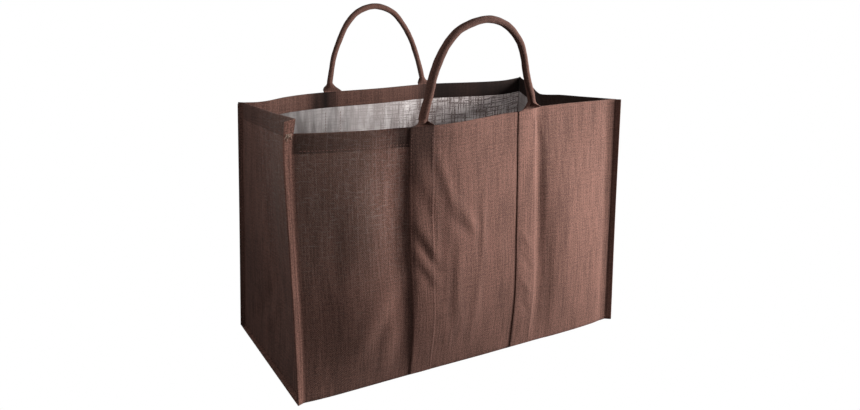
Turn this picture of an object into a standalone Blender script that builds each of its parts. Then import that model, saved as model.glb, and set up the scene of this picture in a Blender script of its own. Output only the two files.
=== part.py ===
# Jute log bag: five sewn pieces, as the maker would lay them out.
# body_cloth   front panel, base and back panel in one strip, hemmed at both rims
# left_gusset  end panel on the left, hemmed at the rim
# right_gusset end panel on the right, hemmed at the rim and folded inward
# front_strap  two flat bands up the front panel, rolled into a round handle between them
# back_strap   the same on the back panel
# The seam allowances stand outside the bag as ribs along its four upright corners.
# Tables are in millimetres. x runs along the front to the right, y runs to the back, z is up.

import math

import bmesh
import bpy
from mathutils import Vector

MM = 0.001
CLOTH = 1.5
HEM_DEPTH = 27.0
HEM_EXTRA = 1.5
SEAM_GAP = 0.5
STRAP_THICK = 3.0
STRAP_GAP = 0.4
BASE_RIB = 9.0
# moves the bag so that the middle of its bounding box stands on the origin
CENTRE = (-8.1, 0.75)

# each upright corner seam: height, x and y where the two cloths meet, rib direction, rib width
CORNERS = {
    "front_left": [
        (0, -286.0, -148.2, 201, 11.0),
        (105, -283.0, -149.0, 194, 12.8),
        (233, -285.0, -149.8, 190, 11.0),
        (320, -284.6, -150.3, 188, 12.2),
        (386, -282.3, -150.5, 186, 13.6),
        (424, -275.4, -150.0, 190, 16.4),
    ],
    "front_right": [
        (0, 292.8, -149.3, 323, 12.2),
        (200, 291.2, -145.5, 318, 9.8),
        (406, 289.0, -141.0, 314, 9.8),
    ],
    "back_right": [
        (0, 288.0, 143.0, 45, 13.0),
        (200, 294.0, 146.0, 45, 13.0),
        (410, 303.0, 150.0, 45, 13.0),
    ],
    "back_left": [
        (0, -285.3, 142.7, 135, 11.8),
        (200, -273.8, 140.3, 135, 11.3),
        (405, -262.3, 137.8, 135, 11.3),
    ],
}
# which side of its rib the body cloth lies on
BODY_SIDE = {"front_left": 1, "front_right": -1, "back_right": 1, "back_left": -1}

# rim heights along each panel: share of the width, height
FRONT_RIM = [
    (0.0, 402.0), (0.12, 400.6), (0.24, 399.6), (0.30, 399.2), (0.36, 399.3), (0.42, 399.6),
    (0.50, 400.4), (0.58, 401.4), (0.64, 401.6), (0.70, 402.6), (0.80, 402.8), (0.92, 402.4),
    (1.0, 402.0),
]
BACK_RIM = [
    (0.0, 401.0), (0.05, 400.2), (0.13, 402.4), (0.2, 403.4), (0.3, 403.6), (0.45, 403.2),
    (0.62, 403.8), (0.7, 403.2), (0.8, 402.4), (0.92, 402.2), (1.0, 405.0),
]
LEFT_RIM = [(0.0, 421.0), (0.25, 415.5), (0.5, 410.0), (0.75, 405.0), (1.0, 401.0)]
RIGHT_RIM = [(0.0, 402.0), (0.25, 397.5), (0.41, 395.0), (0.58, 390.5), (0.81, 394.5), (1.0, 406.0)]

# how far each panel stands out of the flat plane between its corner seams:
# a row for each height, a column for each share of the width
FRONT_SHARES = (0.0, 0.04, 0.09, 0.14, 0.175, 0.21, 0.24, 0.262, 0.275, 0.287, 0.300, 0.331,
                0.363, 0.42, 0.47, 0.53, 0.585, 0.626, 0.66, 0.694, 0.708, 0.722, 0.745, 0.775,
                0.82, 0.88, 0.955, 1.0)
FRONT_FOLDS = [
    (0, (0, 2, 3, 3, 3, 3, 3, 3, 3, 3, 3, 3.5, 3.5, 4, 4.5,
         5, 5, 5, 5, 5, 5, 5, 5.5, 6, 6, 5.5, 3, 0)),
    (100, (0, 6.5, 13.4, 19.5, 21.2, 21, 19.8, 19.4, 20.2, 21.8, 24, 25.4, 25.8, 25, 22,
           18.6, 16.8, 15.8, 15.2, 12.4, 8.4, 7.6, 10.6, 12.6, 12.5, 9.5, 3.5, 0)),
    (200, (0, 6, 12.6, 19, 21.8, 22.4, 21.2, 21.4, 22.8, 24.8, 27.4, 29.4, 30.4, 30.4, 27.2,
           22.6, 19, 16.6, 14.8, 10.8, 6.2, 5.2, 9.7, 11.6, 11.4, 8, 1.5, 0)),
    (300, (0, 7, 15, 21.5, 23.6, 23.4, 21.8, 22.4, 24.2, 26.2, 28.6, 31, 32.4, 32.4, 29,
           23.8, 19.2, 15.8, 12.8, 8.2, 2.8, 1.2, 4.5, 5.5, 4.7, 3.2, -0.5, 0)),
    (402, (0, 7, 13.5, 19, 22.5, 24.5, 25.5, 26.5, 27.5, 28.5, 29.5, 31.5, 33, 30.5, 26,
           19.5, 14.5, 13, 9.2, 2.4, -2, -3.5, -3, -3.5, -4.5, -3.5, -2.5, 0)),
]
BACK_SHARES = (0.0, 0.04, 0.08, 0.13, 0.2, 0.28, 0.36, 0.45, 0.54, 0.62,
               0.69, 0.77, 0.84, 0.92, 0.96, 1.0)
BACK_FOLDS = [
    (0, (0, 1, 2, 2, 2, 2, 2, 2, 2, 2, 2, 2, 2, 2, 1, 0)),
    (120, (0, 0, 2, 6, 10, 12, 12, 11, 12, 12, 10, 7, 4, 1, 0, 0)),
    (260, (0, -1, 1, 9, 15, 18, 17, 16, 17, 18, 15, 9, 3, -1, -1, 0)),
    (403, (0, -2, 1, 11, 18, 21, 20, 19, 20, 21, 18, 9, 1, -4, -3, 0)),
]
LEFT_SHARES = (0.0, 0.15, 0.35, 0.5, 0.65, 0.85, 1.0)
LEFT_FOLDS = [
    (0, (0, 0, 0, 0, 0, 0, 0)),
    (60, (0, -2, -5, -5, -2, 1, 0)),
    (150, (0, -4, -8, -6, -1, 1, 0)),
    (280, (0, -3, -4, -6, -4, -1, 0)),
    (415, (0, 0, 1, 0, -1, 0, 0)),
]
RIGHT_SHARES = (0.0, 0.12, 0.25, 0.41, 0.5, 0.58, 0.66, 0.81, 0.92, 1.0)
RIGHT_FOLDS = [
    (0, (0, 0, 0, 0, 0, 0, 0, 0, 0, 0)),
    (130, (0, -1, -2, -4, -6, -7, -5, -2, -1, 0)),
    (270, (0, -3, -7, -13, -17, -19, -15, -5, -2, 0)),
    (395, (0, -6, -14, -25, -31, -35, -27, -8, -2, 0)),
]

# columns of the body cloth, the same threads from the front rim to the back rim
FRONT_COLUMNS = (0, 0.04, 0.09, 0.14, 0.175, 0.215, 0.25, 0.275, 0.300, 0.321, 0.342, 0.363, 0.42,
                 0.46, 0.5, 0.55, 0.595, 0.626, 0.6487, 0.6713, 0.694, 0.714, 0.745, 0.79, 0.85,
                 0.91, 0.96, 1.0)
BACK_COLUMNS = (0, 0.035, 0.07, 0.105, 0.14, 0.175, 0.205, 0.24, 0.267, 0.287, 0.307, 0.327, 0.37,
                0.42, 0.475, 0.53, 0.575, 0.607, 0.6263, 0.6457, 0.665, 0.70, 0.74, 0.79, 0.85,
                0.91, 0.96, 1.0)
# sideways drift of the front's threads by the time they reach the rim
FRONT_DRIFT = [(0.0, 0.0), (0.2, -0.012), (0.3, -0.019), (0.363, -0.018), (0.5, -0.006),
               (0.62, 0.0), (1.0, 0.0)]
BACK_DRIFT = [(0.0, 0.0), (1.0, 0.0)]
# how much of that drift there is at each height
DRIFT_RISE = [(0, 0.0), (100, 0.52), (200, 0.8), (300, 0.92), (402, 1.0)]
LEFT_BAND = (8, 9, 10, 11)
RIGHT_BAND = (17, 18, 19, 20)
GUSSET_COLUMNS = (0, 0.07, 0.16, 0.25, 0.33, 0.41, 0.5, 0.58, 0.66, 0.73, 0.81, 0.9, 1.0)

PANEL_ROWS = 14
BASE_ROWS = 8
HEM_ROWS = (0.0, 13.5, HEM_DEPTH)

# rolled handles: points along the middle of the roll and its diameter, left foot to right foot
FRONT_HANDLE = [
    (-104.5, -183.6, 410.0, 10.4), (-101.2, -185.0, 424.0, 10.4), (-97.0, -186.3, 440.0, 11.8),
    (-91.0, -188.0, 467.4, 12.8), (-80.5, -189.6, 494.0, 12.4), (-66.2, -190.3, 515.7, 11.6),
    (-46.0, -190.2, 532.0, 11.0), (-4.0, -187.6, 542.4, 10.4), (32.4, -182.6, 533.2, 10.6),
    (60.3, -176.8, 509.6, 10.6), (72.5, -173.0, 486.0, 10.6), (79.4, -170.2, 463.5, 10.6),
    (86.5, -168.0, 443.9, 10.8), (92.6, -166.8, 427.0, 11.0), (95.0, -166.2, 417.0, 11.2),
]
BACK_HANDLE = [
    (-95.6, 174.6, 418.5, 10.0), (-91.5, 176.0, 436.0, 9.6), (-84.5, 178.6, 462.0, 9.6),
    (-71.0, 182.1, 490.7, 9.8), (-54.0, 185.8, 518.0, 10.2), (-30.0, 188.4, 539.0, 10.4),
    (4.3, 189.4, 547.6, 10.4), (38.0, 188.2, 536.6, 10.2), (59.6, 186.2, 512.4, 9.8),
    (73.8, 183.8, 486.5, 9.6), (81.0, 181.9, 466.0, 9.6), (86.2, 180.2, 447.9, 9.6),
    (91.0, 178.4, 428.0, 9.8), (93.5, 177.6, 415.5, 10.2),
]
# the flat band gathers into the roll: share of the way up, width, thickness
FOOT = [(0.25, 30.0, 4.5), (0.5, 20.0, 7.5), (0.75, 13.5, 9.5)]
# a gusset's seam allowance ends a little lower at its tip than at the seam
TIP_DROP = 2.5
ARCH_ROWS = 26


def between(low, high, share):
    return low + (high - low) * share


def smooth(keys, values, at):
    """Value of a smooth line through the given keys."""
    last = len(keys) - 1
    if at <= keys[0]:
        return values[0]
    if at >= keys[last]:
        return values[last]
    k = 0
    while at > keys[k + 1]:
        k += 1
    span = keys[k + 1] - keys[k]
    slopes = []
    for m in (k, k + 1):
        before = max(m - 1, 0)
        after = min(m + 1, last)
        slopes.append((values[after] - values[before]) / (keys[after] - keys[before]) * span)
    f = (at - keys[k]) / span
    start = values[k] * (2 * f ** 3 - 3 * f ** 2 + 1) + slopes[0] * (f ** 3 - 2 * f ** 2 + f)
    return start + values[k + 1] * (3 * f ** 2 - 2 * f ** 3) + slopes[1] * (f ** 3 - f ** 2)


def column(rows, number):
    return [row[number] for row in rows]


def rim(rows, share):
    return smooth(column(rows, 0), column(rows, 1), share)


def folds(shares, rows, share, height):
    """How far the cloth stands out of its flat plane."""
    across = [smooth(shares, row[1], share) for row in rows]
    return smooth(column(rows, 0), across, height)


def seam(name, height):
    """Meeting point of the two cloths at a corner, the rib's direction and its width."""
    rows = CORNERS[name]
    keys = column(rows, 0)
    x, y, angle, width = (smooth(keys, column(rows, n), height) for n in (1, 2, 3, 4))
    turn = math.radians(angle)
    return Vector((x, y, height)), Vector((math.cos(turn), math.sin(turn), 0.0)), width


def rib_point(name, height, out, side):
    """Point on one cloth's inner face at a corner: at the seam or out at the rib's tip."""
    root, way, width = seam(name, height)
    across = Vector((-way.y, way.x, 0.0)) * side * SEAM_GAP / 2
    return root + across + way * width * out


PANELS = {
    "front": ("front_left", "front_right", Vector((0, -1, 0)), FRONT_SHARES, FRONT_FOLDS, 1),
    "back": ("back_left", "back_right", Vector((0, 1, 0)), BACK_SHARES, BACK_FOLDS, 1),
    "left": ("front_left", "back_left", Vector((-1, 0, 0)), LEFT_SHARES, LEFT_FOLDS, -1),
    "right": ("front_right", "back_right", Vector((1, 0, 0)), RIGHT_SHARES, RIGHT_FOLDS, -1),
}


def panel_point(panel, share, height):
    """Point on the inner face of a panel, the hem's second layer left out."""
    first, last, out, shares, rows, side = PANELS[panel]
    start = rib_point(first, height, 0, BODY_SIDE[first] * side)
    end = rib_point(last, height, 0, BODY_SIDE[last] * side)
    return start.lerp(end, share) + out * folds(shares, rows, share, height)


def outward(panel, share, height):
    """Direction square to the panel, away from the inside of the bag."""
    along = panel_point(panel, min(share + 0.01, 1), height)
    along -= panel_point(panel, max(share - 0.01, 0), height)
    up = panel_point(panel, share, height + 3) - panel_point(panel, share, height - 3)
    square = along.cross(up).normalized()
    return square if square.dot(PANELS[panel][2]) > 0 else -square


def drop(top, row):
    """Height of a row and its hem weight: hem rows first, then evenly down to the base."""
    if row < len(HEM_ROWS):
        return top - HEM_ROWS[row], 1.0
    count = row - len(HEM_ROWS)
    hem_foot = top - HEM_DEPTH - 0.8
    return between(hem_foot, CLOTH, count / PANEL_ROWS), 0.0


def thread(columns, drift, place, height):
    """Share of the width where one column runs at a height."""
    share = columns[place]
    rise = smooth(column(DRIFT_RISE, 0), column(DRIFT_RISE, 1), height)
    return share + smooth(column(drift, 0), column(drift, 1), share) * rise


def hem_share(place, places):
    """The hem's second layer stops short of the corner seams."""
    return 0.0 if place == 0 or place == places - 1 else 1.0


def sheet(name, columns, rows, place, colour):
    """Cloth as an open surface given by place(column, row), thickened away from its inner face."""
    bm = bmesh.new()
    bmesh.ops.create_grid(bm, x_segments=columns - 1, y_segments=rows - 1, size=0.5)
    layer = bm.verts.layers.deform.verify()
    doomed = []
    welds = {}
    spots = {}
    for vert in bm.verts:
        col = round((vert.co.x + 0.5) * (columns - 1))
        row = round((vert.co.y + 0.5) * (rows - 1))
        spots[(col, row)] = vert
    for (col, row), vert in spots.items():
        point, weight = place(col, row)
        if point is None:
            doomed.append(vert)
            continue
        vert.co = (point + Vector((CENTRE[0], CENTRE[1], 0))) * MM
        vert[layer][0] = weight
    if doomed:
        for col in (1, columns - 2):
            welds[spots[(col, 0)]] = spots[(col, 1)]
        bmesh.ops.delete(bm, geom=doomed, context="VERTS")
        bmesh.ops.weld_verts(bm, targetmap=welds)
    mesh = bpy.data.meshes.new(name)
    bm.to_mesh(mesh)
    bm.free()
    obj = bpy.data.objects.new(name, mesh)
    obj.vertex_groups.new(name="layers")
    thick = obj.modifiers.new("cloth thickness", "SOLIDIFY")
    thick.thickness = (CLOTH + HEM_EXTRA) * MM
    thick.offset = -1
    thick.use_even_offset = True
    thick.use_quality_normals = True
    thick.vertex_group = "layers"
    thick.thickness_vertex_group = CLOTH / (CLOTH + HEM_EXTRA)
    finish(obj, colour)
    return obj


def finish(obj, colour):
    material = bpy.data.materials.new(obj.name)
    material.use_nodes = True
    shader = material.node_tree.nodes["Principled BSDF"]
    shader.inputs["Base Color"].default_value = (*colour, 1)
    shader.inputs["Roughness"].default_value = 0.9
    obj.data.materials.append(material)
    bag.objects.link(obj)


def body_spot(col, row):
    """Front rim, down the front, under the base and up the back to its rim."""
    last_col = len(FRONT_COLUMNS) + 1
    place = min(max(col - 1, 0), last_col - 2)
    tip = 1 if col in (0, last_col) else 0
    down = len(HEM_ROWS) + PANEL_ROWS
    if row <= down or row >= down + BASE_ROWS:
        panel = "front" if row <= down else "back"
        shares = FRONT_COLUMNS if row <= down else BACK_COLUMNS
        heights = FRONT_RIM if row <= down else BACK_RIM
        drift = FRONT_DRIFT if row <= down else BACK_DRIFT
        step = row if row <= down else 2 * down + BASE_ROWS - row
        height, hem = drop(rim(heights, thread(shares, drift, place, 400)), step)
        share = thread(shares, drift, place, height)
        if tip:
            corner = PANELS[panel][0 if col == 0 else 1]
            return rib_point(corner, height, 1, BODY_SIDE[corner]), 0.0
        hem *= hem_share(place, len(shares))
        point = panel_point(panel, share, height)
        return point - outward(panel, share, height) * HEM_EXTRA * hem, hem
    r = (row - down) / BASE_ROWS
    front = panel_point("front", FRONT_COLUMNS[place], CLOTH)
    back = panel_point("back", BACK_COLUMNS[place], CLOTH)
    point = front.lerp(back, r)
    if tip:
        point.x += -BASE_RIB if col == 0 else BASE_RIB
    return point, 0.0


def gusset_spot(panel, rims):
    """Places for one end panel: bottom rib, then up to the hem, with its upright ribs."""
    first, last = PANELS[panel][0], PANELS[panel][1]
    count = len(GUSSET_COLUMNS)

    def spot(col, row):
        if panel == "right":
            col = count + 1 - col
        place = min(max(col - 1, 0), count - 1)
        tip = 1 if col in (0, count + 1) else 0
        share = GUSSET_COLUMNS[place]
        foot = CLOTH + SEAM_GAP
        if row == 0:
            if tip:
                return None, 0.0
            point = panel_point(panel, share, foot)
            return point + PANELS[panel][2] * BASE_RIB, 0.0
        step = len(HEM_ROWS) + PANEL_ROWS + 1 - row
        height, hem = drop(rim(rims, share), step)
        height = max(height, foot)
        if tip:
            corner = first if col == 0 else last
            height -= TIP_DROP if step == 0 else 0.0
            return rib_point(corner, height, 1, -BODY_SIDE[corner]), 0.0
        hem *= hem_share(place, count)
        point = panel_point(panel, share, height)
        return point - outward(panel, share, height) * HEM_EXTRA * hem, hem

    return spot


def band_loop(panel, columns, drift, places, heights, row):
    """Ten points round the flat band where it lies on the panel, at one row."""
    inner = []
    outer = []
    for place in places:
        height, _ = drop(rim(heights, thread(columns, drift, place, 400)), row)
        share = thread(columns, drift, place, height)
        height = max(height, CLOTH + 0.8)
        point = panel_point(panel, share, height)
        square = outward(panel, share, height)
        inner.append(point + square * (CLOTH + STRAP_GAP))
        outer.append(point + square * (CLOTH + STRAP_GAP + STRAP_THICK))
    side = (outer[-1] - outer[0]).normalized() * 0.5
    low = (inner[0] + outer[0]) / 2 - side
    high = (inner[-1] + outer[-1]) / 2 + side
    return [low] + outer + [high] + inner[::-1]


def roll_loop(middle, side, out, width, thick, round_share):
    """Ten points round the gathered band or the roll, flat when round_share is 0."""
    flat_across = (-1.0, -0.94, -0.33, 0.33, 0.94, 1.0, 0.94, 0.33, -0.33, -0.94)
    flat_out = (0, 1, 1, 1, 1, 0, -1, -1, -1, -1)
    points = []
    for k in range(10):
        turn = math.pi - k * math.pi / 5
        across = between(flat_across[k], math.cos(turn), round_share) * width / 2
        away = between(flat_out[k], math.sin(turn), round_share) * thick / 2
        points.append(middle + side * across + out * away)
    return points


def along_path(points, share):
    """Point on a smooth line through the given points, and the roll's diameter there."""
    lengths = [0.0]
    for a, b in zip(points, points[1:]):
        lengths.append(lengths[-1] + (Vector(b[:3]) - Vector(a[:3])).length)
    at = share * lengths[-1]
    x, y, z, size = (smooth(lengths, column(points, n), at) for n in range(4))
    return Vector((x, y, z)), size


def strap(name, panel, columns, drift, heights, handle, colour):
    """Band up from the base, gathered, rolled over the arch, gathered and down again."""
    bands = []
    for band in (LEFT_BAND, RIGHT_BAND):
        rows = range(len(HEM_ROWS) + PANEL_ROWS + 1)
        bands.append([band_loop(panel, columns, drift, band, heights, row) for row in rows])
    out_way = PANELS[panel][2]
    loops = bands[0][::-1]
    tops = []
    for loop in (bands[0][0], bands[1][0]):
        tops.append(sum(loop, Vector()) / len(loop))
    for share, width, thick in FOOT:
        middle = tops[0].lerp(Vector(handle[0][:3]), share)
        loops.append(roll_loop(middle, Vector((1, 0, 0)), out_way, width, thick, share))
    for k in range(ARCH_ROWS + 1):
        share = k / ARCH_ROWS
        middle, size = along_path(handle, share)
        ahead, _ = along_path(handle, min(share + 0.01, 1))
        behind, _ = along_path(handle, max(share - 0.01, 0))
        run = (ahead - behind).normalized()
        side = run.cross(Vector((0, -1, 0))).normalized()
        out = side.cross(run).normalized()
        if out.dot(out_way) < 0:
            out = -out
        loops.append(roll_loop(middle, side, out, size, size, 1.0))
    for share, width, thick in FOOT[::-1]:
        middle = tops[1].lerp(Vector(handle[-1][:3]), share)
        loops.append(roll_loop(middle, Vector((-1, 0, 0)), out_way, width, thick, share))
    turned = []
    for loop in bands[1]:
        turned.append([loop[(5 - k) % 10] for k in range(10)])
    loops += turned
    bm = bmesh.new()
    rings = []
    for loop in loops:
        shift = Vector((CENTRE[0], CENTRE[1], 0))
        rings.append([bm.verts.new((point + shift) * MM) for point in loop])
    for low, high in zip(rings, rings[1:]):
        for k in range(10):
            m = (k + 1) % 10
            bm.faces.new((low[k], low[m], high[m], high[k]))
    bm.faces.new(rings[0][::-1])
    bm.faces.new(rings[-1])
    bmesh.ops.recalc_face_normals(bm, faces=bm.faces)
    mesh = bpy.data.meshes.new(name)
    bm.to_mesh(mesh)
    bm.free()
    obj = bpy.data.objects.new(name, mesh)
    finish(obj, colour)
    return obj


for startup in list(bpy.data.objects):
    bpy.data.objects.remove(startup)
bag = bpy.data.collections.new("jute_log_bag")
bpy.context.scene.collection.children.link(bag)

body_rows = 2 * (len(HEM_ROWS) + PANEL_ROWS) + BASE_ROWS + 1
gusset_rows = len(HEM_ROWS) + PANEL_ROWS + 2
sheet("body_cloth", len(FRONT_COLUMNS) + 2, body_rows, body_spot, (0.30, 0.16, 0.12))
sheet("left_gusset", len(GUSSET_COLUMNS) + 2, gusset_rows, gusset_spot("left", LEFT_RIM),
      (0.27, 0.14, 0.10))
sheet("right_gusset", len(GUSSET_COLUMNS) + 2, gusset_rows, gusset_spot("right", RIGHT_RIM),
      (0.27, 0.14, 0.10))
strap("front_strap", "front", FRONT_COLUMNS, FRONT_DRIFT, FRONT_RIM, FRONT_HANDLE,
      (0.33, 0.18, 0.13))
strap("back_strap", "back", BACK_COLUMNS, BACK_DRIFT, BACK_RIM, BACK_HANDLE, (0.33, 0.18, 0.13))
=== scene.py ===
# Looks of the jute log bag: fine cloth surfaces on the solids' own shape, with weave, film,
# stitching, rolled handles, light and camera.
# Lengths in the tables are millimetres. x runs along the front to the right, y to the back, z up.

import math

import bmesh
import bpy
import numpy as np
from mathutils import Matrix, Vector


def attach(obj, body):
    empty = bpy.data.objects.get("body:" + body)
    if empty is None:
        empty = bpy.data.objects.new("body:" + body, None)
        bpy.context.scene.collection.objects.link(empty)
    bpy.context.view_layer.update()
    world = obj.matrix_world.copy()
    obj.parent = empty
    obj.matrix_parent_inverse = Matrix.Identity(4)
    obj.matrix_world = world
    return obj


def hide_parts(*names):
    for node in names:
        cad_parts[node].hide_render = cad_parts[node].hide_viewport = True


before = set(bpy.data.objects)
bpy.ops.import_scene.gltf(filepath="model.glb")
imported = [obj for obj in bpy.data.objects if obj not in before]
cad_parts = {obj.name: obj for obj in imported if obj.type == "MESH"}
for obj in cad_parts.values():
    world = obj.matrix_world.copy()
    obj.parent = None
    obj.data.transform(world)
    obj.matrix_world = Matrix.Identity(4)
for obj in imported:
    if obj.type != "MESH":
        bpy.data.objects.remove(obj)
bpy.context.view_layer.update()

MM = 0.001
# moves the bag so that the middle of its bounding box stands on the origin
SHIFT = np.array((-8.1, 0.75, 0.0))
PANEL_WIDTH = 578.0
GUSSET_WIDTH = 300.0
# width of a rib on the flat cloth
RIB_WIDTH = 12
# height at which the columns of cloth are placed along a rim
RIM_LEVEL = 400.0
CLOTH = 1.5
HEM_DEPTH = 27.0
# thickness of the hem's second layer, which lies inside
HEM_EXTRA = 1.5
# how far apart the two cloths of a seam lie
SEAM_GAP = 0.14
# width of the rib along the foot of each end
BASE_RIB = 9.0
# how far the rib tips of the ends drop below the rim
TIP_DROP = 2.5
STRAP_CLOTH = 1.2
STRAP_GAP = 0.3
ROLL_CLOTH = 2.4
STRAP_WIDTH = 40.0

# each upright corner seam: height, x and y where the two cloths meet, rib direction, rib width
CORNERS = {
    "front_left": [
        (0, -286, -148.2, 201, 11), (105, -283, -149, 194, 12.8), (233, -285, -149.8, 190, 11),
        (320, -284.6, -150.3, 188, 12.2), (386, -282.3, -150.5, 186, 13.6), (424, -275.4, -150, 190, 16.4),
    ],
    "front_right": [
        (0, 292.8, -149.3, 323, 12.2), (200, 291.2, -145.5, 318, 9.8), (406, 289, -141, 314, 9.8),
    ],
    "back_right": [(0, 288, 143, 45, 13), (200, 294, 146, 45, 13), (410, 303, 150, 45, 13)],
    "back_left": [
        (0, -285.3, 142.7, 135, 11.8), (200, -273.8, 140.3, 135, 11.3), (405, -262.3, 137.8, 135, 11.3),
    ],
}
# which side of its rib the body cloth lies on
BODY_SIDE = {"front_left": 1, "front_right": -1, "back_right": 1, "back_left": -1}

# rim heights along each panel: share of the width, height
RIMS = {
    "front": [
        (0, 402), (0.12, 400.6), (0.24, 399.6), (0.3, 399.2), (0.36, 399.3), (0.42, 399.6),
        (0.5, 400.4), (0.58, 401.4), (0.64, 401.6), (0.7, 402.6), (0.8, 402.8), (0.92, 402.4),
        (1, 402),
    ],
    "back": [
        (0, 401), (0.05, 400.2), (0.13, 402.4), (0.2, 403.4), (0.3, 403.6), (0.45, 403.2),
        (0.62, 403.8), (0.7, 403.2), (0.8, 402.4), (0.92, 402.2), (1, 405),
    ],
    "left": [(0, 421), (0.25, 415.5), (0.5, 410), (0.75, 405), (1, 401)],
    "right": [(0, 402), (0.25, 397.5), (0.41, 395), (0.58, 390.5), (0.81, 394.5), (1, 406)],
}

# how far each panel stands out of the flat plane between its corner seams:
# the shares of the width, then a row for each height
FOLDS = {
    "front": (
        (0, 0.04, 0.09, 0.14, 0.175, 0.21, 0.24, 0.262, 0.275, 0.287, 0.3, 0.331, 0.363, 0.42, 0.47,
         0.53, 0.585, 0.626, 0.66, 0.694, 0.708, 0.722, 0.745, 0.775, 0.82, 0.88, 0.955, 1),
        [(0, (0, 2, 3, 3, 3, 3, 3, 3, 3, 3, 3, 3.5, 3.5, 4, 4.5,
              5, 5, 5, 5, 5, 5, 5, 5.5, 6, 6, 5.5, 3, 0)),
         (100, (0, 6.5, 13.4, 19.5, 21.2, 21, 19.8, 19.4, 20.2, 21.8, 24, 25.4, 25.8, 25, 22,
                18.6, 16.8, 15.8, 15.2, 12.4, 8.4, 7.6, 10.6, 12.6, 12.5, 9.5, 3.5, 0)),
         (200, (0, 6, 12.6, 19, 21.8, 22.4, 21.2, 21.4, 22.8, 24.8, 27.4, 29.4, 30.4, 30.4, 27.2,
                22.6, 19, 16.6, 14.8, 10.8, 6.2, 5.2, 9.7, 11.6, 11.4, 8, 1.5, 0)),
         (300, (0, 7, 15, 21.5, 23.6, 23.4, 21.8, 22.4, 24.2, 26.2, 28.6, 31, 32.4, 32.4, 29,
                23.8, 19.2, 15.8, 12.8, 8.2, 2.8, 1.2, 4.5, 5.5, 4.7, 3.2, -0.5, 0)),
         (402, (0, 7, 13.5, 19, 22.5, 24.5, 25.5, 26.5, 27.5, 28.5, 29.5, 31.5, 33, 30.5, 26,
                19.5, 14.5, 13, 9.2, 2.4, -2, -3.5, -3, -3.5, -4.5, -3.5, -2.5, 0))]),
    "back": (
        (0, 0.04, 0.08, 0.13, 0.2, 0.28, 0.36, 0.45, 0.54, 0.62, 0.69, 0.77, 0.84, 0.92, 0.96, 1),
        [(0, (0, 1, 2, 2, 2, 2, 2, 2, 2, 2, 2, 2, 2, 2, 1, 0)),
         (120, (0, 0, 2, 6, 10, 12, 12, 11, 12, 12, 10, 7, 4, 1, 0, 0)),
         (260, (0, -1, 1, 9, 15, 18, 17, 16, 17, 18, 15, 9, 3, -1, -1, 0)),
         (403, (0, -2, 1, 11, 18, 21, 20, 19, 20, 21, 18, 9, 1, -4, -3, 0))]),
    "left": (
        (0, 0.15, 0.35, 0.5, 0.65, 0.85, 1),
        [(0, (0, 0, 0, 0, 0, 0, 0)),
         (60, (0, -2, -5, -5, -2, 1, 0)),
         (150, (0, -4, -8, -6, -1, 1, 0)),
         (280, (0, -3, -4, -6, -4, -1, 0)),
         (415, (0, 0, 1, 0, -1, 0, 0))]),
    "right": (
        (0, 0.12, 0.25, 0.41, 0.5, 0.58, 0.66, 0.81, 0.92, 1),
        [(0, (0, 0, 0, 0, 0, 0, 0, 0, 0, 0)),
         (130, (0, -1, -2, -4, -6, -7, -5, -2, -1, 0)),
         (270, (0, -3, -7, -13, -17, -19, -15, -5, -2, 0)),
         (395, (0, -6, -14, -25, -31, -35, -27, -8, -2, 0))]),
}
# each panel: its first and last corner, the way it faces, 1 for the body cloth or -1 for an end
PANELS = {
    "front": ("front_left", "front_right", (0, -1, 0), 1),
    "back": ("back_left", "back_right", (0, 1, 0), 1),
    "left": ("front_left", "back_left", (-1, 0, 0), -1),
    "right": ("front_right", "back_right", (1, 0, 0), -1),
}
# sideways drift of the front's threads by the time they reach the rim
DRIFT = {
    "front": [(0, 0), (0.2, -0.012), (0.3, -0.019), (0.363, -0.018), (0.5, -0.006), (0.62, 0), (1, 0)],
}
NO_DRIFT = [(0, 0), (1, 0)]
# how much of that drift there is at each height
DRIFT_RISE = [(0, 0), (100, 0.52), (200, 0.8), (300, 0.92), (402, 1)]
# each strap: panel, shares of its two bands, points along the roll with its diameter
STRAPS = {
    "front_strap": {
        "panel": "front",
        "bands": ((0.3, 0.363), (0.626, 0.694)),
        "roll": [
            (-104, -183.6, 410, 13.8), (-101.2, -185, 424, 13),
            (-97, -186.3, 440, 12.8), (-91, -188, 467.4, 12.8),
            (-80.5, -189.6, 494, 12.4), (-66.2, -190.3, 515.7, 11.6),
            (-46, -190.2, 532, 11), (-4, -187.6, 542.4, 10.4),
            (32.4, -182.6, 533.2, 10.6), (60.3, -176.8, 509.6, 10.6),
            (72.5, -173, 486, 10.6), (79.4, -170.2, 463.5, 10.6),
            (86.5, -168, 443.9, 11.2), (92.6, -166.8, 427, 12),
            (95, -166.2, 417, 12.8),
        ],
    },
    "back_strap": {
        "panel": "back",
        "bands": ((0.267, 0.327), (0.607, 0.665)),
        "roll": [
            (-95.6, 174.6, 418.5, 10), (-91.5, 176, 436, 9.6), (-84.5, 178.6, 462, 9.6),
            (-71, 182.1, 490.7, 9.8), (-54, 185.8, 518, 10.2), (-30, 188.4, 539, 10.4),
            (4.3, 189.4, 547.6, 10.4), (38, 188.2, 536.6, 10.2), (59.6, 186.2, 512.4, 9.8),
            (73.8, 183.8, 486.5, 9.6), (81, 181.9, 466, 9.6), (86.2, 180.2, 447.9, 9.6),
            (91, 178.4, 428, 9.8), (93.5, 177.6, 415.5, 10.2),
        ],
    },
}

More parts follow.
